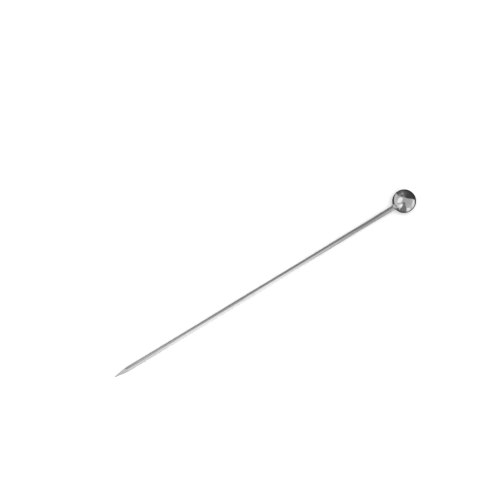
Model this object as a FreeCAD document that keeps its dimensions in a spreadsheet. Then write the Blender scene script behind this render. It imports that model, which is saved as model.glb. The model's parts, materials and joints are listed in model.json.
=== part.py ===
import FreeCAD, Part
import math
import os
import Sketcher

# Cocktail pick: a straight stainless wire, ground to a point at one end and brazed into a
# solid polished ball at the other. The wire's end is turned down to a spigot, which goes
# into a drilled socket in the ball. The braze fills the socket's countersink and the room
# between the spigot's shoulder and the ball, and stands out from them as a hollow fillet.
# The pick lies on a table as it comes to rest, on its ball and on the heel of its point,
# where the cone begins, so its axis falls a little towards the point.
# Millimetres, +Z up. The table is at z = 0, the ball is towards +X and the point towards
# -X, and the origin is below the middle of the pick.
# Each piece is drawn about the ball's centre with the wire along its own -X axis, and one
# placement, the same for all three, then lays the pick down.

# Driving dimensions. A radius, gap, width or height is across the wire's axis or round it,
# and a length, depth or room is along it.
SIZES = {
    # From the ball's far side to the end of the point
    "overall_length": 110.0,
    "ball_diameter": 7.5,
    "wire_diameter": 1.5,
    # From the end of the point to where its cone would meet the full wire
    "point_length": 4.0,
    # The soft edge that grinding leaves at the heel, between the wire and the cone
    "heel_radius": 2.0,
    "tip_radius": 0.12,
    "spigot_diameter": 1.0,
    "spigot_chamfer": 0.15,
    # From the ball's surface to the end of the socket's full bore
    "socket_depth": 4.5,
    "drill_point_angle": 118.0,
    # Between the spigot and the bore, all round, where the braze runs in
    "braze_gap": 0.03,
    # Between the spigot's end and the end of the full bore
    "end_room": 0.1,
    # The countersink's width round the bore, before the ball's curve shortens it
    "countersink_width": 0.3,
    "countersink_angle": 90.0,
    # Between the spigot's shoulder and the ball, where the ring of braze is laid
    "braze_room": 0.5,
    # How far the fillet climbs the ball above the wire, and the radius of its hollow
    "fillet_height": 0.4,
    "fillet_radius": 1.1,
}

# Worked out from the sizes, as formulas in a sheet of their own. A reach is the distance
# along the wire's axis from the ball's centre.
LAYOUT = {
    "ball_radius": "Sizes.ball_diameter / 2",
    "wire_radius": "Sizes.wire_diameter / 2",
    "spigot_radius": "Sizes.spigot_diameter / 2",
    "bore_radius": "spigot_radius + Sizes.braze_gap",
    "spigot_reach": "ball_radius - Sizes.socket_depth + Sizes.end_room",
    "shoulder_reach": "ball_radius + Sizes.braze_room",
    "countersink_radius": "bore_radius + Sizes.countersink_width",
    "countersink_half": "Sizes.countersink_angle * 1 deg / 2",
    "seat_reach": "ball_radius - Sizes.countersink_width / tan(countersink_half)",
    "seat_angle": "180 deg - countersink_half",
    "point_reach": "Sizes.overall_length - ball_radius",
    "tip_reach": "point_reach - Sizes.tip_radius",
    # The cone's line touches the tip's circle and passes through the heel's sharp corner
    "cone_run": "Sizes.point_length - Sizes.tip_radius",
    "cone_chord": "hypot(cone_run; wire_radius)",
    "cone_angle": "atan(wire_radius / cone_run) - asin(Sizes.tip_radius / cone_chord)",
    "heel_run": "Sizes.heel_radius * tan(cone_angle / 2)",
    "heel_reach": "point_reach - Sizes.point_length - heel_run",
    # The table touches the ball's circle and the heel's, whose centre is off the axis
    "heel_offset": "Sizes.heel_radius - wire_radius",
    "centre_span": "hypot(heel_reach; heel_offset)",
    "centre_rise": "atan(heel_offset / heel_reach)",
    "centre_fall": "asin((ball_radius - Sizes.heel_radius) / centre_span)",
    "rest_tilt": "centre_rise + centre_fall",
    "ball_x": "(tip_reach * cos(rest_tilt) + Sizes.tip_radius - ball_radius) / 2",
}

FULL_TURN = 360.0
EDGE_TOLERANCE = 1e-6
UPWARD = FreeCAD.Vector(0, 0, 1)
SIDEWAYS = FreeCAD.Vector(0, 1, 0)

# How a sketch numbers the ends of its curves, its horizontal axis and its origin
START = 1
END = 2
CENTRE = 3
X_AXIS = -1
SKETCH_ORIGIN = (-1, 1)


def fill_sheet(doc, name, cells):
    """Adds a spreadsheet with one row for each entry: its name in A, its aliased value in B."""
    sheet = doc.addObject("Spreadsheet::Sheet", name)
    for row, (alias, content) in enumerate(cells.items(), start=1):
        sheet.set(f"A{row}", alias)
        sheet.set(f"B{row}", content)
        sheet.setAlias(f"B{row}", alias)
    return sheet


def origin_plane(body, role):
    """Returns one of the body's own origin planes, such as XZ_Plane."""
    for feature in body.Origin.OriginFeatures:
        if feature.Role == role:
            return feature
    raise RuntimeError(f"{body.Label} has no {role}")


def new_body(doc, label):
    """Adds a body that is laid on the table with the others, turned about the ball's centre."""
    body = doc.addObject("PartDesign::Body", label)
    body.Label = label
    body.Placement.Rotation = FreeCAD.Rotation(SIDEWAYS, -1.0)
    body.setExpression("Placement.Base.x", "Layout.ball_x")
    body.setExpression("Placement.Base.z", "Layout.ball_radius")
    body.setExpression("Placement.Rotation.Angle", "-Layout.rest_tilt")
    return body


def new_sketch(body, name, role):
    """Adds a sketch on one of the body's own origin planes."""
    sketch = body.newObject("Sketcher::SketchObject", name)
    sketch.AttachmentSupport = [(origin_plane(body, role), "")]
    sketch.MapMode = "FlatFace"
    return sketch


def relate(sketch, kind, *places):
    """Adds a constraint with no size of its own, such as Horizontal or Tangent."""
    sketch.addConstraint(Sketcher.Constraint(kind, *places))


def drive(sketch, sheet, alias, kind, *places):
    """Adds a dimension that takes its name and its size from a cell of a sheet."""
    size = getattr(sheet, alias)
    if kind == "Angle":
        size = math.radians(size.Value)
    index = sketch.addConstraint(Sketcher.Constraint(kind, *places, size))
    sketch.renameConstraint(index, alias)
    sketch.setExpression(f"Constraints.{alias}", f"{sheet.Name}.{alias}")


def draw_loop(sketch, curves):
    """Draws curves end to end as a closed loop, each given with how it meets the next."""
    numbers = [sketch.addGeometry(curve) for curve, _ in curves]
    following = numbers[1:] + numbers[:1]
    for number, next_number, (_, joint) in zip(numbers, following, curves):
        relate(sketch, joint, number, END, next_number, START)
    return numbers


def line(start, end):
    """Returns a straight edge between two points."""
    return Part.LineSegment(start, end)


def arc(centre, start, end):
    """Returns the arc that runs anticlockwise from one point to another round a centre."""
    circle = Part.Circle(centre, UPWARD, start.distanceToPoint(centre))
    angles = [math.atan2(point.y - centre.y, point.x - centre.x) for point in (start, end)]
    return Part.ArcOfCircle(circle, *angles)


def point(x, y):
    """Returns a point of a sketch's plane."""
    return FreeCAD.Vector(x, y, 0)


def on_circle(centre, radius, angle):
    """Returns the point of a circle at an angle in radians."""
    return centre + point(math.cos(angle), math.sin(angle)) * radius


def revolve_round_wire(body, sketch, name):
    """Turns a sketch once round its horizontal axis, which is the wire's axis."""
    feature = body.newObject("PartDesign::Revolution", name)
    feature.Profile = sketch
    feature.ReferenceAxis = (sketch, ["H_Axis"])
    feature.Angle = FULL_TURN
    return feature


def build_shaft(doc, sizes, layout):
    """Builds the wire: the spigot for the socket, the drawn length and the ground point."""
    body = new_body(doc, "pick_shaft")
    profile = new_sketch(body, "ShaftProfile", "XZ_Plane")
    cone_normal = math.pi / 2 + math.radians(layout.cone_angle.Value)
    heel_centre = point(-layout.heel_reach, layout.wire_radius - sizes.heel_radius)
    tip_centre = point(-layout.tip_reach, 0)
    spigot_middle = point(-layout.spigot_reach, 0)
    spigot_rim = point(-layout.spigot_reach, layout.spigot_radius)
    shoulder_root = point(-layout.shoulder_reach, layout.spigot_radius)
    shoulder_rim = point(-layout.shoulder_reach, layout.wire_radius)
    heel_start = point(-layout.heel_reach, layout.wire_radius)
    heel_end = on_circle(heel_centre, sizes.heel_radius, cone_normal)
    tip_start = on_circle(tip_centre, sizes.tip_radius, cone_normal)
    point_end = point(-layout.point_reach, 0)
    end_face, spigot, shoulder, wire, heel, cone, tip, axis = draw_loop(
        profile,
        [
            (line(spigot_middle, spigot_rim), "Coincident"),
            (line(spigot_rim, shoulder_root), "Coincident"),
            (line(shoulder_root, shoulder_rim), "Coincident"),
            (line(shoulder_rim, heel_start), "Tangent"),
            (arc(heel_centre, heel_start, heel_end), "Tangent"),
            (line(heel_end, tip_start), "Tangent"),
            (arc(tip_centre, tip_start, point_end), "Coincident"),
            (line(point_end, spigot_middle), "Coincident"),
        ],
    )
    # The heel's sharp corner, where the cone's line would meet the wire's
    corner_place = point(sizes.point_length - layout.point_reach, layout.wire_radius)
    corner = profile.addGeometry(Part.Point(corner_place), True)
    relate(profile, "PointOnObject", corner, START, cone)
    relate(profile, "PointOnObject", corner, START, wire)
    relate(profile, "Vertical", end_face)
    relate(profile, "Horizontal", spigot)
    relate(profile, "Vertical", shoulder)
    relate(profile, "Horizontal", wire)
    relate(profile, "PointOnObject", axis, START, X_AXIS)
    relate(profile, "PointOnObject", axis, END, X_AXIS)
    relate(profile, "PointOnObject", tip, CENTRE, X_AXIS)
    drive(profile, layout, "spigot_radius", "DistanceY", *SKETCH_ORIGIN, spigot, START)
    drive(profile, layout, "wire_radius", "DistanceY", *SKETCH_ORIGIN, wire, START)
    drive(profile, layout, "spigot_reach", "DistanceX", spigot, START, *SKETCH_ORIGIN)
    drive(profile, layout, "shoulder_reach", "DistanceX", shoulder, START, *SKETCH_ORIGIN)
    drive(profile, layout, "point_reach", "DistanceX", axis, START, *SKETCH_ORIGIN)
    drive(profile, sizes, "point_length", "DistanceX", axis, START, corner, START)
    drive(profile, sizes, "heel_radius", "Radius", heel)
    drive(profile, sizes, "tip_radius", "Radius", tip)

    ground_wire = revolve_round_wire(body, profile, "GroundWire")
    doc.recompute()
    chamfer = body.newObject("PartDesign::Chamfer", "SpigotChamfer")
    chamfer.Base = (ground_wire, [edge_at(ground_wire, spigot_rim)])
    chamfer.setExpression("Size", "Sizes.spigot_chamfer")
    return body


def edge_at(feature, rim):
    """Returns the name of the edge that a point of the profile draws when it is turned."""
    for number, edge in enumerate(feature.Shape.Edges, start=1):
        curve = edge.Curve
        if not isinstance(curve, Part.Circle):
            continue
        if point(curve.Center.x, curve.Radius).distanceToPoint(rim) < EDGE_TOLERANCE:
            return f"Edge{number}"
    raise RuntimeError(f"{feature.Label} has no round edge at {rim}")


def build_ball(doc, sizes, layout):
    """Builds the solid ball with the countersunk blind socket that takes the spigot."""
    body = new_body(doc, "ball_head")
    profile = new_sketch(body, "BallProfile", "XZ_Plane")
    centre = point(0, 0)
    far_end = point(layout.ball_radius, 0)
    near_end = point(-layout.ball_radius, 0)
    half_round, axis = draw_loop(
        profile,
        [
            (arc(centre, far_end, near_end), "Coincident"),
            (line(near_end, far_end), "Coincident"),
        ],
    )
    relate(profile, "Coincident", half_round, CENTRE, *SKETCH_ORIGIN)
    relate(profile, "PointOnObject", axis, START, X_AXIS)
    relate(profile, "PointOnObject", axis, END, X_AXIS)
    drive(profile, layout, "ball_radius", "Radius", half_round)
    revolve_round_wire(body, profile, "Ball")

    mouth = new_sketch(body, "SocketMouth", "YZ_Plane")
    mouth.setExpression("AttachmentOffset.Base.z", "-Layout.ball_radius")
    bore = mouth.addGeometry(Part.Circle(centre, UPWARD, layout.bore_radius))
    relate(mouth, "Coincident", bore, CENTRE, *SKETCH_ORIGIN)
    drive(mouth, layout, "bore_radius", "Radius", bore)
    doc.recompute()
    uncut_volume = body.Shape.Volume
    socket = body.newObject("PartDesign::Hole", "Socket")
    socket.Profile = mouth
    socket.Reversed = True
    socket.DepthType = "Dimension"
    socket.DrillPoint = "Angled"
    socket.HoleCutType = "Countersink"
    socket.setExpression("Diameter", "2 * Layout.bore_radius")
    socket.setExpression("Depth", "Sizes.socket_depth")
    socket.setExpression("DrillPointAngle", "Sizes.drill_point_angle")
    socket.setExpression("HoleCutDiameter", "2 * Layout.countersink_radius")
    socket.setExpression("HoleCutCountersinkAngle", "Sizes.countersink_angle")
    doc.recompute()
    bored_volume = math.pi * layout.bore_radius**2 * sizes.socket_depth
    if uncut_volume - body.Shape.Volume < bored_volume / 2:
        raise RuntimeError("the socket isn't cut into the ball")
    return body


def build_fillet(doc, sizes, layout):
    """Builds the braze: a ring round the spigot with a hollow fillet outside."""
    body = new_body(doc, "braze_fillet")
    profile = new_sketch(body, "FilletProfile", "XZ_Plane")
    ball_radius = layout.ball_radius
    top_height = layout.wire_radius + sizes.fillet_height
    foot = point(-layout.shoulder_reach, layout.spigot_radius)
    toe = point(-layout.shoulder_reach, layout.wire_radius)
    top = point(-math.sqrt(ball_radius**2 - top_height**2), top_height)
    seat_root = point(-layout.seat_reach, layout.bore_radius)
    film_end = point(-layout.seat_reach, layout.spigot_radius)

    # The seat is the countersink's side, from the bore to where it leaves the ball
    seat_course = on_circle(point(0, 0), 1, math.radians(layout.seat_angle.Value))
    towards = seat_root.dot(seat_course)
    depth_squared = ball_radius**2 - seat_root.dot(seat_root)
    seat_rim = seat_root + seat_course * (math.sqrt(towards**2 + depth_squared) - towards)

    # The hollow's centre stands off the middle of the chord from the toe to the top
    chord = top - toe
    stand_off = math.sqrt(sizes.fillet_radius**2 - chord.Length**2 / 4)
    hollow_centre = (toe + top) / 2 + point(-chord.y, chord.x).normalize() * stand_off

    shoulder, hollow, on_ball, seat, film, on_spigot = draw_loop(
        profile,
        [
            (line(foot, toe), "Coincident"),
            (arc(hollow_centre, toe, top), "Coincident"),
            (arc(point(0, 0), top, seat_rim), "Coincident"),
            (line(seat_rim, seat_root), "Coincident"),
            (line(seat_root, film_end), "Coincident"),
            (line(film_end, foot), "Coincident"),
        ],
    )
    relate(profile, "Coincident", on_ball, CENTRE, *SKETCH_ORIGIN)
    relate(profile, "Vertical", shoulder)
    relate(profile, "Vertical", film)
    relate(profile, "Horizontal", on_spigot)
    drive(profile, layout, "ball_radius", "Radius", on_ball)
    drive(profile, layout, "spigot_radius", "DistanceY", *SKETCH_ORIGIN, shoulder, START)
    drive(profile, layout, "wire_radius", "DistanceY", *SKETCH_ORIGIN, shoulder, END)
    drive(profile, layout, "shoulder_reach", "DistanceX", shoulder, START, *SKETCH_ORIGIN)
    drive(profile, sizes, "fillet_height", "DistanceY", shoulder, END, hollow, END)
    drive(profile, sizes, "fillet_radius", "Radius", hollow)
    drive(profile, layout, "bore_radius", "DistanceY", *SKETCH_ORIGIN, seat, END)
    drive(profile, layout, "seat_reach", "DistanceX", seat, END, *SKETCH_ORIGIN)
    drive(profile, layout, "seat_angle", "Angle", X_AXIS, START, seat, END)
    revolve_round_wire(body, profile, "Fillet")
    return body


def check_document(doc, bodies):
    """Stops where an object failed, a sketch is loose or a piece isn't one valid solid."""
    for item in doc.Objects:
        if "Invalid" in item.State or "Error" in item.State:
            raise RuntimeError(f"{item.Label} failed: {item.State}")
        if item.isDerivedFrom("Sketcher::SketchObject") and not item.FullyConstrained:
            raise RuntimeError(f"{item.Label} isn't fully constrained")
    for body in bodies:
        shape = body.Shape
        if shape.isNull() or not shape.isValid() or len(shape.Solids) != 1:
            raise RuntimeError(f"{body.Label} isn't one valid solid")


def main():
    """Builds the pick and writes each piece to a file of its own."""
    doc = FreeCAD.newDocument("CocktailPick")
    sizes = fill_sheet(doc, "Sizes", {name: str(value) for name, value in SIZES.items()})
    layout = fill_sheet(doc, "Layout", {name: f"={rule}" for name, rule in LAYOUT.items()})
    doc.recompute()
    bodies = [
        build_shaft(doc, sizes, layout),
        build_ball(doc, sizes, layout),
        build_fillet(doc, sizes, layout),
    ]
    doc.recompute()
    check_document(doc, bodies)
    os.makedirs("parts", exist_ok=True)
    for body in bodies:
        body.Shape.exportStep(f"parts/{body.Label}.step")
        box = body.Shape.BoundBox
        print(f"{body.Label}: {body.Shape.Volume:.3f} mm3, z {box.ZMin:.4f} to {box.ZMax:.4f}")


main()
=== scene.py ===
import json
import logging
import math
from dataclasses import dataclass
from enum import Enum
from functools import cache
from typing import Any, Union

import bmesh
import bpy
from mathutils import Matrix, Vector


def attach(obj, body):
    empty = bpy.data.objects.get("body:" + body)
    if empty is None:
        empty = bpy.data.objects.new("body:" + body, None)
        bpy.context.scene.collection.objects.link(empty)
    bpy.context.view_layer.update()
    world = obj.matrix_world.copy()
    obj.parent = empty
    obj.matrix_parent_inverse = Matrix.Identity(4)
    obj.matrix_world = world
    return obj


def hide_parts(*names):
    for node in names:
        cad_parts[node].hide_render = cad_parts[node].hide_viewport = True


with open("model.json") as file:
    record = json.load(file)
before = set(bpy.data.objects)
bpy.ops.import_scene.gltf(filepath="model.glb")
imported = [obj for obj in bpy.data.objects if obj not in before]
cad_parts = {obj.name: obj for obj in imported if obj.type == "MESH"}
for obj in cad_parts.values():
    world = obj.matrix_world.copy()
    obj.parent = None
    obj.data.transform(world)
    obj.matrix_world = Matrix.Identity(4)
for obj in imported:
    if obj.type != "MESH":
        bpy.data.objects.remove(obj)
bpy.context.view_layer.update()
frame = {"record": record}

# A cocktail pick: a straight steel wire with a ground point at one end and a polished steel
# ball brazed on at the other. Metres, +Z up, the table is at z = 0. Each piece is turned
# about the wire's axis with the ball's centre at the origin and the wire along -X, and is
# then laid down as the CAD's pick lies, on its ball and on the heel of its point.

LOG = logging.getLogger("cocktail_pick")
MILLIMETRE = 0.001
WELD = 2e-7

Socket = bpy.types.NodeSocket
Tree = bpy.types.NodeTree
Source = Union[Socket, float, int, bool, tuple[float, ...], Any]
Spot = tuple[Source, Source]
Colour = tuple[float, float, float]


# Node trees


class Wiring:
    """Adds nodes to one tree and joins them up."""

    def __init__(self, tree: Tree) -> None:
        """Keeps the shader or geometry tree that the nodes go into."""
        self.tree = tree

    def put(self, kind: str, inputs: dict[Any, Source], **settings: Any) -> bpy.types.Node:
        """Adds one node.

        Args:
            kind: The node's type name.
            inputs: Its inputs by name or number, each a socket to join or a plain value.
            **settings: The node's own properties.

        Returns:
            The new node.
        """
        node = self.tree.nodes.new(kind)
        for name, value in settings.items():
            setattr(node, name, value)
        for key, value in inputs.items():
            self.feed(node.inputs[key], value)
        return node

    def first(self, kind: str, inputs: dict[Any, Source], **settings: Any) -> Socket:
        """Adds one node as put does, and gives its first output."""
        return self.put(kind, inputs, **settings).outputs[0]

    def feed(self, target: Socket, value: Source) -> None:
        """Fills one input.

        Args:
            target: The input.
            value: A socket to join to it, or a plain value to write into it.
        """
        if isinstance(value, Socket):
            self.tree.links.new(value, target)
        else:
            target.default_value = value

    def maths(self, operation: str, *values: Source) -> Socket:
        """Works out one number from values, which are the operation's inputs in order."""
        return self.first("ShaderNodeMath", dict(enumerate(values)), operation=operation)

    def vector(self, x: Source = 0.0, y: Source = 0.0, z: Source = 0.0) -> Socket:
        """Makes a vector of three numbers or sockets."""
        return self.first("ShaderNodeCombineXYZ", {"X": x, "Y": y, "Z": z})

    def between(self, value: Source, low: Source, high: Source) -> Socket:
        """Turns a value into 0 below low and 1 above high, smoothly."""
        inputs = {"Value": value, "From Min": low, "From Max": high}
        return self.first("ShaderNodeMapRange", inputs, interpolation_type="SMOOTHSTEP")

    def welded(self, geometry: Socket) -> Socket:
        """Joins the points that lie on each other."""
        return self.first("GeometryNodeMergeByDistance", {"Geometry": geometry, "Distance": WELD})


def start_group(
    name: str, kind: str, inputs: dict[str, str], outputs: dict[str, str]
) -> tuple[Wiring, Any]:
    """Starts a node group with its named sockets.

    Args:
        name: The group's name.
        kind: ShaderNodeTree or GeometryNodeTree.
        inputs: Each input's type, such as Float, by its name.
        outputs: The same for its outputs.

    Returns:
        The wiring of its tree, and the sockets that give its inputs.
    """
    tree = bpy.data.node_groups.new(name, kind)
    for direction, sockets in (("INPUT", inputs), ("OUTPUT", outputs)):
        for title, holds in sockets.items():
            tree.interface.new_socket(title, in_out=direction, socket_type=f"NodeSocket{holds}")
    wiring = Wiring(tree)
    return wiring, wiring.put("NodeGroupInput", {}).outputs


def cleared(holder: Union[bpy.types.Material, bpy.types.World]) -> Wiring:
    """Empties the tree of a material or a world.

    Args:
        holder: The material or world.

    Returns:
        The wiring of its tree.
    """
    holder.use_nodes = True
    holder.node_tree.nodes.clear()
    return Wiring(holder.node_tree)


def new_object(name: str, data: Any) -> bpy.types.Object:
    """Adds an object to the scene.

    Args:
        name: Its name.
        data: Its mesh, camera or lamp.

    Returns:
        The object.
    """
    made = bpy.data.objects.new(name, data)
    bpy.context.scene.collection.objects.link(made)
    return made


# Shapes turned about the wire's axis


@cache
def turned_profile_group() -> Tree:
    """Builds the group, once, that turns a profile round the X axis into a closed skin.

    The profile is a curve whose points give the place along the axis as x and the radius
    as y. A grid takes its rows from the profile's points and its columns from the turn.

    Returns:
        The node group, with a profile and the number of steps round as its inputs.
    """
    inputs = {"Profile": "Geometry", "Steps Round": "Int"}
    wiring, given = start_group("Turned Profile", "GeometryNodeTree", inputs, {"Skin": "Geometry"})
    maths = wiring.maths
    steps = given["Steps Round"]
    curve = {"Curve": given["Profile"]}
    cloud = wiring.first("GeometryNodeCurveToPoints", curve, mode="EVALUATED")
    points = {"Geometry": cloud}
    size = wiring.put("GeometryNodeAttributeDomainSize", points, component="POINTCLOUD")
    rows = size.outputs["Point Count"]
    corners = {"Vertices X": maths("ADD", steps, 1.0), "Vertices Y": rows}
    grid = wiring.first("GeometryNodeMeshGrid", corners)
    # Half a point more keeps a column's first point from being rounded into the one before.
    number = wiring.first("GeometryNodeInputIndex", {})
    column = maths("FLOOR", maths("DIVIDE", maths("ADD", number, 0.5), rows))
    row = maths("SUBTRACT", number, maths("MULTIPLY", column, rows))
    place = wiring.first("GeometryNodeInputPosition", {})
    sample = {"Geometry": cloud, "Value": place, "Index": row}
    spot = wiring.first("GeometryNodeSampleIndex", sample, data_type="FLOAT_VECTOR", domain="POINT")
    profile = wiring.put("ShaderNodeSeparateXYZ", {0: spot}).outputs
    turn = maths("MULTIPLY", maths("DIVIDE", column, steps), math.tau)
    across = maths("MULTIPLY", profile["Y"], maths("SINE", turn))
    upward = maths("MULTIPLY", profile["Y"], maths("COSINE", turn))
    moved = {"Geometry": grid, "Position": wiring.vector(profile["X"], across, upward)}
    skin = wiring.welded(wiring.first("GeometryNodeSetPosition", moved))
    wiring.put("NodeGroupOutput", {"Skin": skin})
    return wiring.tree


class TurningTree:
    """A geometry tree that turns profiles into one piece and lays it on the table."""

    def __init__(self, name: str, sizes: dict[str, float]) -> None:
        """Starts the tree.

        Args:
            name: The tree's name.
            sizes: The piece's sizes in metres or radians, by the names of their inputs.
        """
        inputs = {
            **dict.fromkeys(sizes, "Float"),
            "Ball Centre": "Vector",
            "Tilt": "Float",
            "Steps Round": "Int",
            "Finish": "Material",
        }
        outputs = {"Piece": "Geometry"}
        self.wiring, self.given = start_group(name, "GeometryNodeTree", inputs, outputs)
        self.skins: list[Socket] = []

    def along(self, name: str) -> Socket:
        """Gives where the reach of that name ends on the axis, as the wire is along -X."""
        return self.wiring.maths("MULTIPLY", self.given[f"{name} Reach"], -1.0)

    def spot(self, name: str) -> Spot:
        """Gives the corner of that name, as the place along the axis and the radius."""
        return self.along(name), self.given[f"{name} Radius"]

    def corners(self, *places: Spot) -> Socket:
        """Makes a profile of straight lines.

        Args:
            *places: Each corner's place along the axis and its radius.

        Returns:
            The socket that gives the curve.
        """
        wiring = self.wiring
        points = wiring.first("GeometryNodeMeshLine", {"Count": len(places)})
        spots = [wiring.vector(along, radius) for along, radius in places]
        moved = {"Geometry": points, "Position": self.choose(spots, "VECTOR")}
        line = {"Mesh": wiring.first("GeometryNodeSetPosition", moved)}
        return wiring.first("GeometryNodeMeshToCurve", line)

    def choose(self, choices: list[Source], kind: str) -> Socket:
        """Picks one of several values by a point's number.

        Args:
            choices: The values, one for each number from 0.
            kind: The values' data type.

        Returns:
            The socket that gives the picked value.
        """
        number = self.wiring.first("GeometryNodeInputIndex", {})
        node = self.wiring.put("GeometryNodeIndexSwitch", {0: number}, data_type=kind)
        while len(node.index_switch_items) < len(choices):
            node.index_switch_items.new()
        for position, choice in enumerate(choices, start=1):
            self.wiring.feed(node.inputs[position], choice)
        return node.outputs[0]

    def rounded(self, curve: Socket, radii: list[Source], steps: int) -> Socket:
        """Rounds the corners of a profile.

        Args:
            curve: The profile.
            radii: One radius for each corner, 0 where it stays sharp.
            steps: How many pieces each rounding gets.

        Returns:
            The socket that gives the rounded curve.
        """
        inputs = {"Curve": curve, "Radius": self.choose(radii, "FLOAT"), "Count": steps}
        return self.wiring.first("GeometryNodeFilletCurve", inputs, mode="POLY")

    def arc(self, *through: Spot, steps: int) -> Socket:
        """Makes a profile of one arc.

        Args:
            *through: Its start, a point that it passes through and its end.
            steps: How many pieces the arc gets.

        Returns:
            The socket that gives the curve.
        """
        places = [self.wiring.vector(along, radius) for along, radius in through]
        inputs = {"Resolution": steps + 1, **dict(zip(("Start", "Middle", "End"), places))}
        return self.wiring.first("GeometryNodeCurveArc", inputs, mode="POINTS")

    def turn(self, profile: Socket) -> None:
        """Turns a profile into a part of the piece's skin.

        Args:
            profile: The curve to turn.
        """
        inputs = {"Profile": profile, "Steps Round": self.given["Steps Round"]}
        group = turned_profile_group()
        self.skins.append(self.wiring.first("GeometryNodeGroup", inputs, node_tree=group))

    def close(self, sharp_angle: float) -> None:
        """Welds the skins, lays the piece down and gives it its finish.

        Args:
            sharp_angle: The least angle in radians at which an edge stays sharp.
        """
        wiring = self.wiring
        joined = wiring.put("GeometryNodeJoinGeometry", {})
        for skin in self.skins:
            wiring.feed(joined.inputs[0], skin)
        bend = wiring.put("GeometryNodeInputMeshEdgeAngle", {}).outputs["Unsigned Angle"]
        angles = {"A": bend, "B": sharp_angle}
        gentle = wiring.first("FunctionNodeCompare", angles, operation="LESS_THAN")
        turn = wiring.vector(0.0, self.given["Tilt"], 0.0)
        laid = {"Translation": self.given["Ball Centre"], "Rotation": turn}
        piece = wiring.welded(joined.outputs[0])
        for kind, inputs, settings in (
            ("GeometryNodeSetShadeSmooth", {}, {}),
            ("GeometryNodeSetShadeSmooth", {"Shade Smooth": gentle}, {"domain": "EDGE"}),
            ("GeometryNodeTransform", laid, {}),
            ("GeometryNodeRealizeInstances", {}, {}),
            ("GeometryNodeSetMaterial", {"Material": self.given["Finish"]}, {}),
        ):
            piece = wiring.first(kind, {"Geometry": piece, **inputs}, **settings)
        wiring.put("NodeGroupOutput", {"Piece": piece})


@dataclass(frozen=True)
class Placement:
    """How the pick lies on the table.

    Attributes:
        ball_centre: Where the middle of the ball is.
        tilt: The turn about Y that lays the wire down, in radians.
    """

    ball_centre: Vector
    tilt: float

    @classmethod
    def from_frame(cls, shoulder_reach: float) -> "Placement":
        """Reads the place from the wire's mount, which runs from the shoulder to the heel.

        Args:
            shoulder_reach: How far the spigot's shoulder is from the ball's centre.

        Returns:
            The placement of every piece.
        """
        shaft = next(m for m in frame["record"]["mounts"] if m["name"] == "shaft")
        axis = Vector(shaft["axis"])
        half_length = shaft["dims"]["length_mm"] * MILLIMETRE / 2
        centre = Vector(shaft["pos_m"]) - axis * (shoulder_reach + half_length)
        return cls(centre, math.atan2(axis.z, -axis.x))


def plain_piece(name: str, tree: Tree, values: dict[str, Any]) -> bpy.types.Object:
    """Runs a geometry tree once and keeps its result as a plain mesh.

    Args:
        name: The piece's name.
        tree: The tree that makes it.
        values: What goes into the tree's inputs, by their names.

    Returns:
        The piece, at the origin and with no modifier.
    """
    maker = new_object(f"{name}_maker", bpy.data.meshes.new(f"{name}_maker"))
    modifier = maker.modifiers.new("Turning", "NODES")
    modifier.node_group = tree
    for socket in tree.interface.items_tree:
        if socket.in_out == "INPUT":
            modifier[socket.identifier] = values[socket.name]
    depsgraph = bpy.context.evaluated_depsgraph_get()
    mesh = bpy.data.meshes.new_from_object(maker.evaluated_get(depsgraph))
    mesh.name = name
    bpy.data.objects.remove(maker)
    return new_object(name, mesh)


def check_closed(piece: bpy.types.Object) -> float:
    """Stops where a piece's skin has a gap or faces inwards.

    Args:
        piece: The finished piece.

    Returns:
        Its volume in cubic millimetres.
    """
    work = bmesh.new()
    work.from_mesh(piece.data)
    open_edges = [edge for edge in work.edges if not edge.is_manifold]
    volume = work.calc_volume(signed=True) / MILLIMETRE**3
    work.free()
    if open_edges or volume <= 0:
        raise RuntimeError(f"{piece.name}: {len(open_edges)} open edges, volume {volume:.3f}")
    return volume


# Finishes. Their shared effects are built once, when the first finish asks for them.


class Grain(Enum):
    """Which way a tool left its marks, as how much finer they are along each axis."""

    ALONG_WIRE = (0.02, 1.0, 1.0)
    ROUND_WIRE = (1.0, 0.02, 0.02)
    EVERY_WAY = (1.0, 1.0, 1.0)


@cache
def tool_marks_group() -> Tree:
    """Builds the group that draws the fine lines of a die, a belt or a wheel.

    Returns:
        The shader group, which puts out the lines' height and a mask of the deeper ones.
    """
    coarse_share = 0.27
    fine_weight = 0.6
    deep_start = 0.48
    deep_full = 0.68
    inputs = {"Place": "Vector", "Grain": "Vector", "Lines per Metre": "Float"}
    outputs = {"Height": "Float", "Deep Lines": "Float"}
    wiring, given = start_group("Tool Marks", "ShaderNodeTree", inputs, outputs)
    lines = given["Lines per Metre"]
    both = {0: given["Place"], 1: given["Grain"]}
    place = wiring.first("ShaderNodeVectorMath", both, operation="MULTIPLY")
    noise = {"Vector": place, "Scale": lines, "Detail": 3.0, "Roughness": 0.6}
    fine = wiring.first("ShaderNodeTexNoise", noise)
    scale = wiring.maths("MULTIPLY", lines, coarse_share)
    noise = {"Vector": place, "Scale": scale, "Detail": 1.0, "Roughness": 0.5}
    coarse = wiring.first("ShaderNodeTexNoise", noise)
    height = wiring.maths("MULTIPLY_ADD", fine, fine_weight, coarse)
    deep = wiring.between(coarse, deep_start, deep_full)
    wiring.put("NodeGroupOutput", {"Height": height, "Deep Lines": deep})
    return wiring.tree


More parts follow.
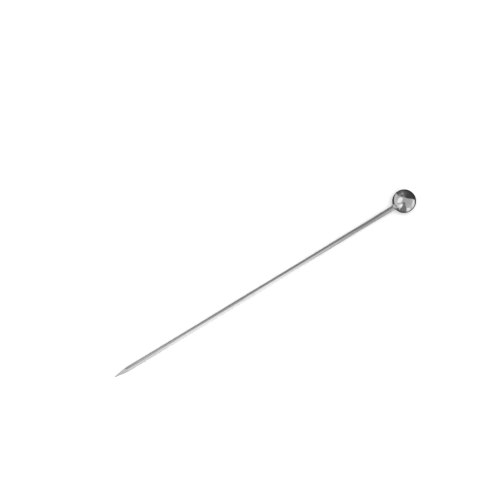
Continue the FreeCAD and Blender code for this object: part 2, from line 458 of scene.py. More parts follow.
@cache
def hairlines_group() -> Tree:
    """Builds the group that draws the few stray hairlines on a polished surface.

    Returns:
        The shader group, which puts out a mask of the hairlines.
    """
    middle = 0.5
    half_width = 0.012
    inputs = {"Place": "Vector", "Per Metre": "Float"}
    wiring, given = start_group("Hairlines", "ShaderNodeTree", inputs, {"Hairlines": "Float"})
    sets = []
    for turn in ((0.4, 0.9, 0.2), (1.3, -0.5, 1.1)):
        laid = {"Vector": given["Place"], "Rotation": turn, "Scale": (0.06, 1.0, 0.35)}
        place = wiring.first("ShaderNodeMapping", laid)
        noise = {"Vector": place, "Scale": given["Per Metre"], "Detail": 2.0}
        value = wiring.first("ShaderNodeTexNoise", noise)
        off_line = wiring.maths("ABSOLUTE", wiring.maths("SUBTRACT", value, middle))
        sets.append(wiring.maths("SUBTRACT", 1.0, wiring.between(off_line, 0.0, half_width)))
    wiring.put("NodeGroupOutput", {"Hairlines": wiring.maths("MAXIMUM", *sets)})
    return wiring.tree


@cache
def handling_group() -> Tree:
    """Builds the group that draws the cloudy film that cleaning and handling leave.

    Returns:
        The shader group, which puts out a soft mask of the film.
    """
    bare_limit = 0.72
    cover_reach = 0.4
    softness = 0.24
    inputs = {"Place": "Vector", "Per Metre": "Float", "Cover": "Float"}
    wiring, given = start_group("Handling Film", "ShaderNodeTree", inputs, {"Film": "Float"})
    noise = {
        "Vector": given["Place"],
        "Scale": given["Per Metre"],
        "Detail": 4.0,
        "Roughness": 0.62,
        "Distortion": 0.8,
    }
    cloud = wiring.first("ShaderNodeTexNoise", noise)
    cover = wiring.maths("MULTIPLY", given["Cover"], cover_reach)
    start = wiring.maths("SUBTRACT", bare_limit, cover)
    film = wiring.between(cloud, start, wiring.maths("ADD", start, softness))
    wiring.put("NodeGroupOutput", {"Film": film})
    return wiring.tree


class FinishSheet:
    """One material while its nodes are laid out."""

    def __init__(self, name: str, placement: Placement) -> None:
        """Starts the material with a metal shader and the piece's own coordinates.

        Args:
            name: The material's name.
            placement: How the pick lies, so that patterns lie along the wire.
        """
        self.material = bpy.data.materials.new(name)
        self.wiring = cleared(self.material)
        self.shader = self.wiring.put("ShaderNodeBsdfPrincipled", {})
        self.shader.inputs["Metallic"].default_value = 1.0
        self.wiring.put("ShaderNodeOutputMaterial", {"Surface": self.shader.outputs[0]})
        laid = {
            "Vector": self.wiring.put("ShaderNodeTexCoord", {}).outputs["Object"],
            "Location": placement.ball_centre,
            "Rotation": (0.0, placement.tilt, 0.0),
        }
        self.place = self.wiring.first("ShaderNodeMapping", laid, vector_type="TEXTURE")

    def effect(self, group: Tree, inputs: dict[str, Source]) -> Any:
        """Places a shared effect.

        Args:
            group: The shader group.
            inputs: Its inputs apart from the place, by their names.

        Returns:
            The group's outputs, by their names.
        """
        inputs = {"Place": self.place, **inputs}
        return self.wiring.put("ShaderNodeGroup", inputs, node_tree=group).outputs

    def marks(self, grain: Grain, lines_per_metre: float) -> Any:
        """Places tool marks that run the given way."""
        lines = {"Grain": grain.value, "Lines per Metre": lines_per_metre}
        return self.effect(tool_marks_group(), lines)

    def film(self, per_metre: float, cover: float) -> Socket:
        """Places a cloudy film, with so many clouds per metre and so much cover."""
        return self.effect(handling_group(), {"Per Metre": per_metre, "Cover": cover})["Film"]

    def mixed(self, mask: Source, first: Source, second: Source, kind: str) -> Socket:
        """Goes from the first value to the second as the mask goes from 0 to 1."""
        inputs = {"Factor": mask, "A": first, "B": second}
        return self.wiring.put("ShaderNodeMix", inputs, data_type=kind).outputs["Result"]


@dataclass(frozen=True, kw_only=True)
class MetalFinish:
    """What the finishes have in common: a bare metal and what dulls it.

    Attributes:
        metal: The bare metal's colour.
        dulled: Its colour where it is dulled.
        edge_tint: How much of the light it keeps near grazing.
        least_roughness: The roughness of the bare metal.
        most_roughness: The roughness where it is dulled.
        depth: How deep its marks are, in metres.
        film_per_metre: How many clouds per metre the film of handling or heat has.
        film_cover: How much of the metal the film covers.
    """

    metal: Colour = (0.44, 0.441, 0.443)
    dulled: Colour
    edge_tint: float
    least_roughness: float
    most_roughness: float
    depth: float
    film_per_metre: float
    film_cover: float

    name = ""

    def masks(self, sheet: FinishSheet) -> tuple[Socket, Socket, Socket]:
        """Gives the colour's mask, the roughness's mask and the height of the marks."""
        raise NotImplementedError

    def material(self, placement: Placement) -> bpy.types.Material:
        """Builds the material.

        Args:
            placement: How the pick lies.

        Returns:
            The finished material.
        """
        sheet = FinishSheet(self.name, placement)
        stain, dull, height = self.masks(sheet)
        colour = sheet.mixed(stain, (*self.metal, 1.0), (*self.dulled, 1.0), "RGBA")
        spread = {"Value": dull, "To Min": self.least_roughness, "To Max": self.most_roughness}
        roughness = sheet.wiring.first("ShaderNodeMapRange", spread)
        relief = {"Height": height, "Distance": self.depth}
        normal = sheet.wiring.first("ShaderNodeBump", relief)
        results = {"Base Color": colour, "Roughness": roughness, "Normal": normal}
        for name, socket in results.items():
            sheet.wiring.feed(sheet.shader.inputs[name], socket)
        sheet.shader.inputs["Specular Tint"].default_value = (*[self.edge_tint] * 3, 1.0)
        return sheet.material


@dataclass(frozen=True, kw_only=True)
class MirrorPolish(MetalFinish):
    """Steel polished to a mirror. Its edge tint, set near black, paints a dark shade round its rim.

    Attributes:
        hairlines: How many hairlines it has per metre.
        hairline_dulling: How far a hairline goes towards the greatest roughness.
    """

    dulled: Colour = (0.36, 0.36, 0.357)
    # Near black, so that the ball's rim shows a painted dark shade.
    edge_tint: float = 0.01
    least_roughness: float = 0.03
    most_roughness: float = 0.16
    depth: float = 7e-7
    film_per_metre: float = 420.0
    film_cover: float = 0.35
    hairlines: float = 700.0
    hairline_dulling: float = 0.7

    name = "mirror_polish"

    def masks(self, sheet: FinishSheet) -> tuple[Socket, Socket, Socket]:
        """Draws the film and the hairlines.

        Args:
            sheet: The material to draw into.

        Returns:
            The colour's mask, the roughness's mask and the height of the marks.
        """
        maths = sheet.wiring.maths
        film = sheet.film(self.film_per_metre, self.film_cover)
        per_metre = {"Per Metre": self.hairlines}
        scratches = sheet.effect(hairlines_group(), per_metre)["Hairlines"]
        dull = maths("MAXIMUM", film, maths("MULTIPLY", scratches, self.hairline_dulling))
        return film, dull, maths("SUBTRACT", 1.0, scratches)


@dataclass(frozen=True, kw_only=True)
class DrawnAndGround(MetalFinish):
    """Drawn wire: fine lines along it from the die, and rings on its point from grinding.

    Attributes:
        heel: Where grinding begins, as a distance from the ball's centre.
        heel_softness: The length over which the ground rings come in.
        die_lines: How many lines per metre the die leaves across the wire.
        wheel_lines: How many rings per metre the wheel leaves along the point.
        film_dulling: How far the film goes towards the greatest roughness.
    """

    dulled: Colour = (0.3, 0.3, 0.297)
    edge_tint: float = 1.0
    least_roughness: float = 0.23
    most_roughness: float = 0.4
    depth: float = 4e-6
    film_per_metre: float = 160.0
    film_cover: float = 0.4
    heel: float
    heel_softness: float = 0.0004
    die_lines: float = 9000.0
    wheel_lines: float = 22000.0
    film_dulling: float = 0.6

    name = "drawn_and_ground"

    def masks(self, sheet: FinishSheet) -> tuple[Socket, Socket, Socket]:
        """Draws the die's lines, the wheel's rings past the heel, and the film.

        Args:
            sheet: The material to draw into.

        Returns:
            The colour's mask, the roughness's mask and the height of the marks.
        """
        wiring = sheet.wiring
        along = wiring.put("ShaderNodeSeparateXYZ", {0: sheet.place}).outputs["X"]
        reach = wiring.maths("MULTIPLY", along, -1.0)
        ground = wiring.between(reach, self.heel - self.heel_softness, self.heel)
        die = sheet.marks(Grain.ALONG_WIRE, self.die_lines)
        wheel = sheet.marks(Grain.ROUND_WIRE, self.wheel_lines)
        height = sheet.mixed(ground, die["Height"], wheel["Height"], "FLOAT")
        deep = sheet.mixed(ground, die["Deep Lines"], wheel["Deep Lines"], "FLOAT")
        film = sheet.film(self.film_per_metre, self.film_cover)
        dull = wiring.maths("MAXIMUM", deep, wiring.maths("MULTIPLY", film, self.film_dulling))
        return dull, dull, height


@dataclass(frozen=True, kw_only=True)
class BrazedFillet(MetalFinish):
    """Braze that ran into the corner and was only lightly polished, with a little tarnish.

    Attributes:
        ripples: How many ripples per metre its skin has.
    """

    metal: Colour = (0.39, 0.388, 0.38)
    dulled: Colour = (0.27, 0.262, 0.248)
    edge_tint: float = 0.3
    least_roughness: float = 0.3
    most_roughness: float = 0.45
    depth: float = 6e-6
    film_per_metre: float = 900.0
    film_cover: float = 0.45
    ripples: float = 2600.0

    name = "brazed_fillet"

    def masks(self, sheet: FinishSheet) -> tuple[Socket, Socket, Socket]:
        """Gives the tarnish as both masks, and the ripples' height."""
        tarnish = sheet.film(self.film_per_metre, self.film_cover)
        return tarnish, tarnish, sheet.marks(Grain.EVERY_WAY, self.ripples)["Height"]


# The pieces


@dataclass(frozen=True)
class JointSizes:
    """The joint between wire and ball, in metres. A reach is from the ball's centre.

    Attributes:
        ball_radius: The ball's radius.
        wire_radius: The wire's radius.
        spigot_radius: The radius of the wire's turned end.
        spigot_chamfer: The bevel on that end.
        socket_depth: From the ball's surface to the end of the full bore.
        drill_half_angle: Half the drill's point angle, in radians.
        braze_gap: Between spigot and bore, all round.
        end_room: Between the spigot's end and the end of the full bore.
        countersink_width: The countersink's width round the bore.
        countersink_half_angle: Half the countersink's angle, in radians.
        braze_room: Between the spigot's shoulder and the ball.
        fillet_height: How far the fillet climbs the ball above the wire.
        fillet_radius: The radius of the fillet's hollow.
    """

    ball_radius: float = 0.00375
    wire_radius: float = 0.00075
    spigot_radius: float = 0.0005
    spigot_chamfer: float = 0.00015
    socket_depth: float = 0.0045
    drill_half_angle: float = math.radians(59.0)
    braze_gap: float = 0.00003
    end_room: float = 0.0001
    countersink_width: float = 0.0003
    countersink_half_angle: float = math.radians(45.0)
    braze_room: float = 0.0005
    fillet_height: float = 0.0004
    fillet_radius: float = 0.0011

    @property
    def bore_radius(self) -> float:
        """The socket's radius."""
        return self.spigot_radius + self.braze_gap

    @property
    def bore_reach(self) -> float:
        """The reach of the end of the full bore."""
        return self.ball_radius - self.socket_depth

    @property
    def shoulder_reach(self) -> float:
        """The reach of the spigot's shoulder."""
        return self.ball_radius + self.braze_room

    @property
    def seat_reach(self) -> float:
        """The reach of the countersink's inner end."""
        return self.ball_radius - self.countersink_width / math.tan(self.countersink_half_angle)

    @property
    def mouth(self) -> tuple[float, float]:
        """Where the countersink leaves the ball, as reach and radius."""
        outward = math.cos(self.countersink_half_angle)
        across = math.sin(self.countersink_half_angle)
        towards = self.seat_reach * outward + self.bore_radius * across
        inside = self.ball_radius**2 - self.seat_reach**2 - self.bore_radius**2
        run = math.sqrt(towards**2 + inside) - towards
        return self.seat_reach + run * outward, self.bore_radius + run * across

    @property
    def top(self) -> tuple[float, float]:
        """Where the fillet meets the ball, as reach and radius."""
        return self.on_ball(self.wire_radius + self.fillet_height)

    @property
    def hollow(self) -> tuple[float, float]:
        """The middle of the fillet's hollow, as reach and radius."""
        toe = Vector((self.shoulder_reach, self.wire_radius))
        top = Vector(self.top)
        chord = top - toe
        sag = self.fillet_radius - math.sqrt(self.fillet_radius**2 - chord.length_squared / 4)
        inward = Vector((chord.y, -chord.x)).normalized()
        if inward.y > 0:
            inward.negate()
        middle = (toe + top) / 2 + inward * sag
        return middle.x, middle.y

    def on_ball(self, radius: float) -> tuple[float, float]:
        """Gives the point of the ball's surface at a radius from the wire's axis."""
        return math.sqrt(self.ball_radius**2 - radius**2), radius

    def named(self) -> dict[str, float]:
        """Gives the joint's sizes by the names that the trees' inputs have.

        Returns:
            The sizes, with a reach and a radius for each corner.
        """
        sizes = {
            "Ball Radius": self.ball_radius,
            "Wire Radius": self.wire_radius,
            "Shoulder Reach": self.shoulder_reach,
            "Spigot Chamfer": self.spigot_chamfer,
            "Seat Reach": self.seat_reach,
            "Drill Slope": math.tan(self.drill_half_angle),
        }
        corners = {
            "Spigot": (self.bore_reach + self.end_room, self.spigot_radius),
            "Bore": (self.bore_reach, self.bore_radius),
            "Mouth": self.mouth,
            "Band": self.on_ball((self.mouth[1] + self.top[1]) / 2),
            "Top": self.top,
            "Hollow": self.hollow,
        }
        for name, (reach, radius) in corners.items():
            sizes[f"{name} Reach"] = reach
            sizes[f"{name} Radius"] = radius
        return sizes


@dataclass
class Piece:
    """One finished piece of the pick.

    Attributes:
        placement: How the pick lies.
        joint: The sizes of the joint between wire and ball.
        node: The CAD's node that it replaces.
        slot: A name for its material's slot; it is not used.
        steps_round: How many steps the skin has round the wire's axis.
        sharp_angle: The least angle in radians at which an edge stays sharp.
        joint_sizes: Which of the joint's sizes it takes, by name.
    """

    placement: Placement
    joint: JointSizes

    node = ""
    slot = ""
    steps_round = 96
    sharp_angle = math.radians(25.0)
    joint_sizes = ()

    def sizes(self) -> dict[str, float]:
        """Gives the piece's sizes by the names of the tree's inputs."""
        named = self.joint.named()
        return {name: named[name] for name in self.joint_sizes}

    def draw(self, tree: TurningTree) -> None:
        """Draws the piece's profiles into its tree."""
        raise NotImplementedError

    def finish(self) -> MetalFinish:
        """Gives the piece's finish."""
        raise NotImplementedError

    def build(self) -> bpy.types.Object:
        """Makes the piece, dresses it and puts it on its body.

        Returns:
            The finished object.
        """
        sizes = self.sizes()
        tree = TurningTree(f"{self.node}_turning", sizes)
        self.draw(tree)
        tree.close(self.sharp_angle)
        values = {
            **sizes,
            "Ball Centre": self.placement.ball_centre,
            "Tilt": self.placement.tilt,
            "Steps Round": self.steps_round,
            "Finish": self.finish().material(self.placement),
        }
        piece = plain_piece(f"{self.node}_finished", tree.wiring.tree, values)
        volume = check_closed(piece)
        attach(piece, "root")
        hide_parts(self.node)
        LOG.info("%s: %d faces, %.3f mm3", piece.name, len(piece.data.polygons), volume)
        return piece


@dataclass
class PickShaft(Piece):
    """The wire: the spigot for the socket, the drawn length and the ground point.

    Attributes:
        overall_length: From the ball's far side to the end of the point.
        point_length: From the end of the point to where its cone would meet the full wire.
        heel_radius: The soft edge between the wire and the cone.
        tip_radius: The rounding of the very end.
    """

    overall_length: float = 0.11
    point_length: float = 0.004
    heel_radius: float = 0.002
    tip_radius: float = 0.00012

    node = "pick_shaft"
    slot = "drawn_steel"
    joint_sizes = (
        "Spigot Reach", "Spigot Radius", "Spigot Chamfer", "Shoulder Reach", "Wire Radius",
    )

    @property
    def point_reach(self) -> float:
        """The reach of the end of the point."""
        return self.overall_length - self.joint.ball_radius

    @property
    def cone_slope(self) -> float:
        """How much the cone's radius falls for its length."""
        run = self.point_length - self.tip_radius
        chord = math.hypot(run, self.joint.wire_radius)
        angle = math.atan(self.joint.wire_radius / run) - math.asin(self.tip_radius / chord)
        return math.tan(angle)

    def sizes(self) -> dict[str, float]:
        """Adds the point's sizes to the joint's.

        Returns:
            The sizes by the names of the tree's inputs.
        """
        point = {
            "Point Reach": self.point_reach,
            "Point Length": self.point_length,
            "Cone Slope": self.cone_slope,
            "Heel Radius": self.heel_radius,
            "Tip Radius": self.tip_radius,
        }
        return {**super().sizes(), **point}

    def draw(self, tree: TurningTree) -> None:
        """Draws the wire's profile from the spigot's end to the tip.

        Args:
            tree: The tree to draw into.
        """
        given = tree.given
        maths = tree.wiring.maths
        spigot, spigot_radius = tree.spot("Spigot")
        shoulder = tree.along("Shoulder")
        tip = tree.along("Point")
        bevel_end = maths("SUBTRACT", spigot, given["Spigot Chamfer"])
        bevel_radius = maths("SUBTRACT", spigot_radius, given["Spigot Chamfer"])
        heel = maths("ADD", tip, given["Point Length"])
        fall = maths("MULTIPLY", given["Point Length"], given["Cone Slope"])
        profile = tree.corners(
            (spigot, 0.0),
            (spigot, bevel_radius),
            (bevel_end, spigot_radius),
            (shoulder, spigot_radius),
            (shoulder, given["Wire Radius"]),
            (heel, given["Wire Radius"]),
            (tip, maths("SUBTRACT", given["Wire Radius"], fall)),
            (tip, 0.0),
        )
        radii = [0.0] * 5 + [given["Heel Radius"], given["Tip Radius"], 0.0]
        tree.turn(tree.rounded(profile, radii, steps=14))

    def finish(self) -> MetalFinish:
        """Gives the wire's finish."""
        return DrawnAndGround(heel=self.point_reach - self.point_length)


@dataclass
class BallHead(Piece):
    """The solid ball with the countersunk blind socket that takes the spigot."""

    node = "ball_head"
    slot = "polished_steel"
    steps_round = 160
    joint_sizes = (
        "Ball Radius", "Mouth Reach", "Mouth Radius", "Seat Reach", "Bore Reach", "Bore Radius",
        "Drill Slope",
    )

    def draw(self, tree: TurningTree) -> None:
        """Draws the ball's round outside and its socket.

        Args:
            tree: The tree to draw into.
        """
        ball_radius = tree.given["Ball Radius"]
        mouth = tree.spot("Mouth")
        bore, bore_radius = tree.spot("Bore")
        drill_run = tree.wiring.maths("DIVIDE", bore_radius, tree.given["Drill Slope"])
        tree.turn(tree.arc((ball_radius, 0.0), (0.0, ball_radius), mouth, steps=110))
        socket = tree.corners(
            mouth,
            (tree.along("Seat"), bore_radius),
            (bore, bore_radius),
            (tree.wiring.maths("ADD", bore, drill_run), 0.0),
        )
        tree.turn(socket)

    def finish(self) -> MetalFinish:
        """Gives the ball's finish."""
        return MirrorPolish()


@dataclass
class BrazeFillet(Piece):
    """The ring of braze between the shoulder and the ball, with a hollow fillet outside."""

    node = "braze_fillet"
    slot = "braze_metal"
    joint_sizes = (
        "Spigot Radius", "Shoulder Reach", "Wire Radius", "Hollow Reach", "Hollow Radius",
        "Top Reach", "Top Radius", "Band Reach", "Band Radius", "Mouth Reach", "Mouth Radius",
        "Seat Reach", "Bore Radius",
    )

    def draw(self, tree: TurningTree) -> None:
        """Draws the band on the ball, the hollow and the root of the braze.

        Args:
            tree: The tree to draw into.
        """
        given = tree.given
        mouth, band, top, hollow = map(tree.spot, ("Mouth", "Band", "Top", "Hollow"))
        shoulder, seat = map(tree.along, ("Shoulder", "Seat"))
        toe = (shoulder, given["Wire Radius"])
        tree.turn(tree.arc(mouth, band, top, steps=6))
        tree.turn(tree.arc(top, hollow, toe, steps=14))
        root = tree.corners(
            toe,
            (shoulder, given["Spigot Radius"]),
            (seat, given["Spigot Radius"]),
            (seat, given["Bore Radius"]),
            mouth,
        )
        tree.turn(root)

    def finish(self) -> MetalFinish:
        """Gives the braze's finish."""
        return BrazedFillet()


# The studio


@dataclass(frozen=True)
class Viewpoint:
    """The camera, at the photograph's viewing angle.

    Attributes:
        azimuth: The way it looks, in degrees from +Y towards +X.
        elevation: How far it stands above the table, in degrees.
        distance: From the place that it looks at, in metres.
        target: That place on the table.
        lens: The focal length in millimetres.
        sensor: The sensor's width in millimetres.
    """

    azimuth: float = 31.452
    elevation: float = 75.0
    distance: float = 0.31838
    target: tuple[float, float, float] = (0.000578, 0.017173, 0.0)
    lens: float = 75.0
    sensor: float = 36.0

    def direction(self, bearing: float, elevation: float) -> Vector:
        """Gives a direction as the camera sees the table.

        Args:
            bearing: Degrees round the table, from the camera's right over its far side.
            elevation: Degrees above the table.

        Returns:
            The direction as a unit vector.
        """
        turn = math.radians(bearing - self.azimuth)
        rise = math.radians(elevation)
        level = math.cos(rise)
        return Vector((math.cos(turn) * level, math.sin(turn) * level, math.sin(rise)))

    def build(self) -> None:
        """Makes the camera and sets it as the scene's."""
        data = bpy.data.cameras.new("viewpoint")
        data.lens = self.lens
        data.sensor_width = self.sensor
        data.clip_start = 0.01
        data.clip_end = 30.0
        camera = new_object("viewpoint", data)
        near_side = -90.0
        backward = self.direction(near_side, self.elevation)
        camera.location = Vector(self.target) + backward * self.distance
        camera.rotation_euler = (-backward).to_track_quat("-Z", "Y").to_euler()
        bpy.context.scene.camera = camera


@dataclass(frozen=True)
class Softbox:
    """A soft lamp. It lights the table but does not show in polished metal, where glowing card
    patches paint the reflections instead.

    Attributes:
        name: The lamp's name.
        bearing: Where its middle is, as Viewpoint.direction gives it.
        elevation: How high its middle is, in degrees.
        width: Its width in metres.
        height: Its height in metres.
        strength: How bright its face is, where 1 is white.
        distance: From the ball, in metres.
    """

    name: str
    bearing: float
    elevation: float
    width: float
    height: float
    strength: float
    distance: float = 2.0

    def build(self, viewpoint: Viewpoint, middle: Vector) -> None:
        """Hangs the lamp.

        Args:
            viewpoint: The camera, from which the bearings are counted.
            middle: The place that it lights.
        """
        data = bpy.data.lights.new(self.name, "AREA")
        data.shape = "RECTANGLE"
        data.size = self.width
        data.size_y = self.height
        data.energy = math.pi * self.strength * self.width * self.height
        lamp = new_object(self.name, data)
        outward = viewpoint.direction(self.bearing, self.elevation)
        lamp.location = middle + outward * self.distance
        lamp.rotation_euler = outward.to_track_quat("Z", "Y").to_euler()
        lamp.visible_camera = False
        lamp.visible_glossy = False


@dataclass(frozen=True)
class PaintedReflection:
    """A curved glowing card round the ball that lights nothing and only shows as a painted
    reflection, bright or dark.

    Below the horizon it lies on the table, and so it can come right up to the ball.

    Attributes:
        name: The card's name.
        stations: The card from one side to the other. Each station gives a bearing as
            Viewpoint.direction does, the card's lower and upper edge there in degrees, and
            how bright its face is there, where 1 is white.
        distances: How far it is from the ball at its first and last station, in metres.
        clearance: How far it stays above the table.
    """

    name: str
    stations: tuple[tuple[float, float, float, float], ...]
    distances: tuple[float, float] = (0.5, 0.5)
    clearance: float = 0.0002

    def build(self, viewpoint: Viewpoint, middle: Vector) -> bpy.types.Object:
        """Makes the card.

        Args:
            viewpoint: The camera, from which the bearings are counted.
            middle: The place that it stands round.

        Returns:
            The card's object.
        """
        rows = 24
        reach_first, reach_last = self.distances
        first, last = self.stations[0][0], self.stations[-1][0]
        mesh = bpy.data.meshes.new(self.name)
        work = bmesh.new()
        shades = work.verts.layers.float.new("shade")
        grid = []
        for bearing, low, high, shade in self.columns(steps=6):
            reach = reach_first + (reach_last - reach_first) * (bearing - first) / (last - first)
            rises = [low + (high - low) * row / rows for row in range(rows + 1)]
            aims = [viewpoint.direction(bearing, rise) for rise in rises]
            grid.append([work.verts.new(self.spot(aim, middle, reach)) for aim in aims])
            for corner in grid[-1]:
                corner[shades] = shade
        for left, right in zip(grid, grid[1:]):
            for row in range(rows):
                work.faces.new((left[row], right[row], right[row + 1], left[row + 1]))
        work.to_mesh(mesh)
        work.free()
        mesh.materials.append(self.material())
        card = new_object(self.name, mesh)
        # Seen only in reflections: a painted reflection that lights and shades nothing.
        card.visible_camera = False
        card.visible_diffuse = False
        card.visible_shadow = False
        return card

    def spot(self, outward: Vector, middle: Vector, reach: float) -> Vector:
        """Finds where the card is in one direction from the ball.

        Args:
            outward: The direction.
            middle: The ball's centre.
            reach: How far the card stands off there.

        Returns:
            The point at that distance, or where the direction meets the table.
        """
        if outward.z < 0.0:
            reach = min(reach, (middle.z - self.clearance) / -outward.z)
        return middle + outward * reach

    def columns(self, steps: int) -> list[tuple[float, ...]]:
        """Fills in the card's outline between its stations.

        Args:
            steps: How many columns each gap between stations gets.

        Returns:
            The bearing, lower edge, upper edge and brightness of every column.
        """
        filled = [self.stations[0]]
        for start, end in zip(self.stations, self.stations[1:]):
            for step in range(1, steps + 1):
                part = step / steps
                filled.append(tuple(a + (b - a) * part for a, b in zip(start, end)))
        return filled

    def material(self) -> bpy.types.Material:
        """Makes the card's glowing face, which paints its reflection as bright as its stations say.

        Returns:
            The material.
        """
        material = bpy.data.materials.new(self.name)
        wiring = cleared(material)
        shade = wiring.put("ShaderNodeAttribute", {}, attribute_name="shade").outputs["Fac"]
        face = wiring.first("ShaderNodeEmission", {"Strength": shade})
        wiring.put("ShaderNodeOutputMaterial", {"Surface": face})
        return material


LAMPS = (
    Softbox("softbox_overhead", bearing=-90, elevation=78, width=1.6, height=1.6, strength=3.7),
    Softbox("softbox_left", bearing=180, elevation=48, width=0.8, height=0.8, strength=1.0),
)
# The cards' outlines were set from where each reflection lies on the ball.
PAINTED_REFLECTIONS = (
    # Bright glowing patches: painted reflections of softboxes, seen on the ball and the wire.
    PaintedReflection("painted_reflection_far_left", (
        (146, 42, 60, 1.7), (152, 36, 62, 1.8), (160, 28, 66, 1.8), (170, 20, 67, 1.8),
        (180, 13, 66, 1.8), (190, 9, 64, 1.8), (197, 9, 61, 1.8), (203, 19, 57, 1.7),
        (209, 29, 53, 1.6), (215, 37, 49, 1.5),
    )),
    PaintedReflection("painted_reflection_near_left", (
        (217, 0, 14, 1.3), (222, -3, 25, 1.6), (228, -6, 33, 1.8), (234, -6, 37, 1.9),
        (239, -3, 38, 1.9), (245, 7, 36, 1.6), (248, 14, 33, 1.3),
    ), distances=(0.115, 0.027)),
    # Glowing strips on the table beside the wire: painted highlights along the wire's flanks.
    PaintedReflection("painted_highlight_near_wire", (
        (212.5, -2.4, -2, 1.9), (213.5, -4.7, -2, 1.9), (214.5, -6.8, -2, 1.9),
        (217.5, -6.8, -2.4, 1.9), (219.5, -5.4, -3.5, 1.9), (222, -5.4, -4.8, 1.9),
    ), clearance=0.0003),
    PaintedReflection("painted_highlight_far_wire", (
        (199.5, -7.2, -5.2, 1.6), (203.5, -7.2, -3.5, 1.6), (206.5, -7.2, -2.2, 1.6),
        (208.5, -7.2, -2, 1.6), (209.5, -4.7, -2, 1.6), (210.5, -2.4, -2, 1.6),
    ), clearance=0.0003),
    # More bright glowing patches: painted reflections of softboxes on the ball's right side.
    PaintedReflection("painted_reflection_right", (
        (-39, -25, -16, 1.2), (-33, -27, -9, 1.6), (-24, -25, 0, 1.8), (-12, -19, 6, 1.8),
        (0, -14, 10, 1.7), (6, -11, 9, 1.6), (10, -6, 4, 1.3),
    )),
    PaintedReflection("painted_reflection_near_right", (
        (-73, -32, -3, 1.4), (-66, -34, -3, 1.9), (-58, -31, -6, 1.9), (-51, -26, -10, 1.8),
        (-43, -20, -14, 1.4),
    )),
    # Dim glowing patches: painted dark reflections of the far side, with a paler streak across
    # them.
    PaintedReflection("painted_dark_reflection_far_side", (
        (11.5, -8, 10, 0.2), (12, -14, 30, 0.16), (12.5, -22, 45, 0.13), (20, -34, 64, 0.11),
        (45, -34, 72, 0.11), (63, -34, 74, 0.13), (84, -34, 73, 0.2), (97, -34, 70, 0.32),
        (106, -33, 66, 0.33), (113, -31, 62, 0.26), (122, -26, 55, 0.24), (130, -12, 52, 0.36),
        (137, 2, 43, 0.45), (141, 8, 24, 0.5),
    ), distances=(2.0, 2.0)),
    PaintedReflection("painted_pale_reflection_far_side", (
        (97, 18, 31, 0.5), (101, 13, 32, 0.75), (110, 12, 32, 0.75), (115, 14, 30, 0.45),
        (122, 12, 28, 0.4), (129, 10, 28, 0.6), (136, 14, 30, 0.6),
    ), distances=(1.9, 1.9)),
    # Dim glowing patches: painted dark reflection of a camera, its stand and the dark room on the
    # near side.
    PaintedReflection("painted_dark_reflection_near_side", (
        (-121, -30, -16, 0.5), (-116, -34, -6, 0.38), (-111.5, -36, 8, 0.36),
        (-110.5, -36, 38, 0.36), (-98, -36, 60, 0.36), (-85.5, -36, 58, 0.36),
        (-85, -36, 30, 0.36), (-79, -34, 20, 0.38), (-75, -32, 4, 0.5),
    )),
    PaintedReflection("painted_dark_reflection_near_top", (
        (-126, 49, 56, 0.42), (-118, 42, 62, 0.36), (-110.5, 34, 63, 0.34), (-98, 54, 62, 0.34),
    ), distances=(0.49, 0.49)),
    # A dim patch on the table under the ball: painted contact shadow, which the ball shows as a
    # dark rim.
    PaintedReflection("painted_contact_shadow_under_ball", (
        (130, -80, -26, 0.2), (140, -80, -22, 0.2), (155, -80, -17.5, 0.18),
        (185, -80, -18, 0.14), (198, -80, -20, 0.2), (215, -80, -30, 0.3),
        (221, -80, -26, 0.32), (225, -80, -15, 0.32), (230, -80, -13, 0.3),
        (235, -80, -18, 0.32), (241, -80, -29, 0.3), (300, -80, -34, 0.2),
        (325, -80, -27, 0.2), (345, -80, -22, 0.2), (360, -80, -15, 0.2),
        (375, -80, -13, 0.15), (385, -80, -30, 0.12), (490, -80, -26, 0.2),
    ), clearance=0.0001),
)


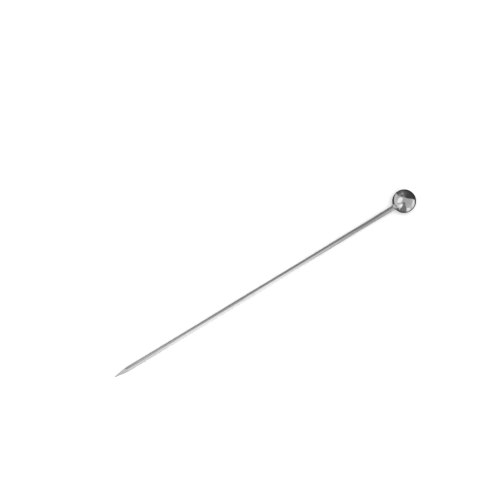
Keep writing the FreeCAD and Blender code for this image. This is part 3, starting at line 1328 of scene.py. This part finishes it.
@dataclass
class Studio:
    """The table, the sky above it, the lamps and the glowing patches that paint reflections.

    Attributes:
        viewpoint: The camera.
        table_radius: The table's radius in metres. Beyond it the sky is as white.
        table_colour: The table's own colour.
        table_lift: What the camera and polished metal see added, so that it shows white.
        sky_top: How bright the sky shows overhead.
        sky_edge: How bright it shows at the table's edge.
        sky_full: The sine of the height from which it is as bright as overhead.
        sky_light: The share of the sky that lights the table. The lamps do the rest.
        lamps: The soft lamps.
        cards: The glowing patches that paint reflections in polished metal.
    """

    viewpoint: Viewpoint
    table_radius: float = 0.55
    table_colour: float = 0.9
    table_lift: float = 0.19
    sky_top: float = 0.82
    sky_edge: float = 1.0
    sky_full: float = 0.75
    sky_light: float = 0.5
    lamps: tuple[Softbox, ...] = LAMPS
    cards: tuple[PaintedReflection, ...] = PAINTED_REFLECTIONS

    def build(self, middle: Vector) -> None:
        """Sets up the studio round the ball.

        Args:
            middle: The ball's centre.
        """
        self.viewpoint.build()
        self.build_table()
        self.build_sky()
        for part in (*self.lamps, *self.cards):
            part.build(self.viewpoint, middle)

    def build_table(self) -> None:
        """Makes the pale table, which shows white and keeps the pick's shadow."""
        mesh = bpy.data.meshes.new("table_top")
        work = bmesh.new()
        bmesh.ops.create_circle(work, cap_ends=True, segments=96, radius=self.table_radius)
        work.to_mesh(mesh)
        work.free()
        material = bpy.data.materials.new("table_top")
        wiring = cleared(material)
        lift = wiring.maths("MULTIPLY", self.seen(wiring), self.table_lift)
        glow = wiring.first("ShaderNodeEmission", {"Strength": lift})
        colour = (*[self.table_colour] * 3, 1.0)
        matt = wiring.first("ShaderNodeBsdfDiffuse", {"Color": colour})
        both = wiring.first("ShaderNodeAddShader", {0: matt, 1: glow})
        wiring.put("ShaderNodeOutputMaterial", {"Surface": both})
        mesh.materials.append(material)
        new_object("table_top", mesh)

    def build_sky(self) -> None:
        """Makes the even light that falls from overhead to white at the table's edge."""
        world = bpy.data.worlds.new("studio_sky")
        wiring = cleared(world)
        outward = wiring.put("ShaderNodeTexCoord", {}).outputs["Generated"]
        spread = {
            "Value": wiring.put("ShaderNodeSeparateXYZ", {0: outward}).outputs["Z"],
            "From Min": 0.0,
            "From Max": self.sky_full,
            "To Min": self.sky_edge,
            "To Max": self.sky_top,
        }
        shade = wiring.first("ShaderNodeMapRange", spread, interpolation_type="SMOOTHSTEP")
        share = {"Value": self.seen(wiring), "To Min": self.sky_light, "To Max": 1.0}
        share = wiring.first("ShaderNodeMapRange", share)
        light = {"Strength": wiring.maths("MULTIPLY", shade, share), "Color": (1.0, 1.0, 1.0, 1.0)}
        sky = wiring.first("ShaderNodeBackground", light)
        wiring.put("ShaderNodeOutputWorld", {"Surface": sky})
        world.cycles.sampling_method = "NONE"
        bpy.context.scene.world = world

    @staticmethod
    def seen(wiring: Wiring) -> Socket:
        """Tells the rays of the camera, of gloss and of glass from those of light.

        Args:
            wiring: The tree to add the nodes to.

        Returns:
            The socket that gives 1 for the first three and 0 for light.
        """
        rays = wiring.put("ShaderNodeLightPath", {}).outputs
        direct = wiring.maths("MAXIMUM", rays["Is Camera Ray"], rays["Is Glossy Ray"])
        return wiring.maths("MAXIMUM", direct, rays["Is Transmission Ray"])


def main() -> None:
    """Builds the studio and the pick."""
    logging.basicConfig(level=logging.INFO, format="%(name)s: %(message)s")
    bpy.context.scene.view_settings.view_transform = "Standard"
    joint = JointSizes()
    placement = Placement.from_frame(joint.shoulder_reach)
    Studio(Viewpoint()).build(placement.ball_centre)
    for kind in (PickShaft, BallHead, BrazeFillet):
        kind(placement, joint).build()


if __name__ == "__main__":
    main()
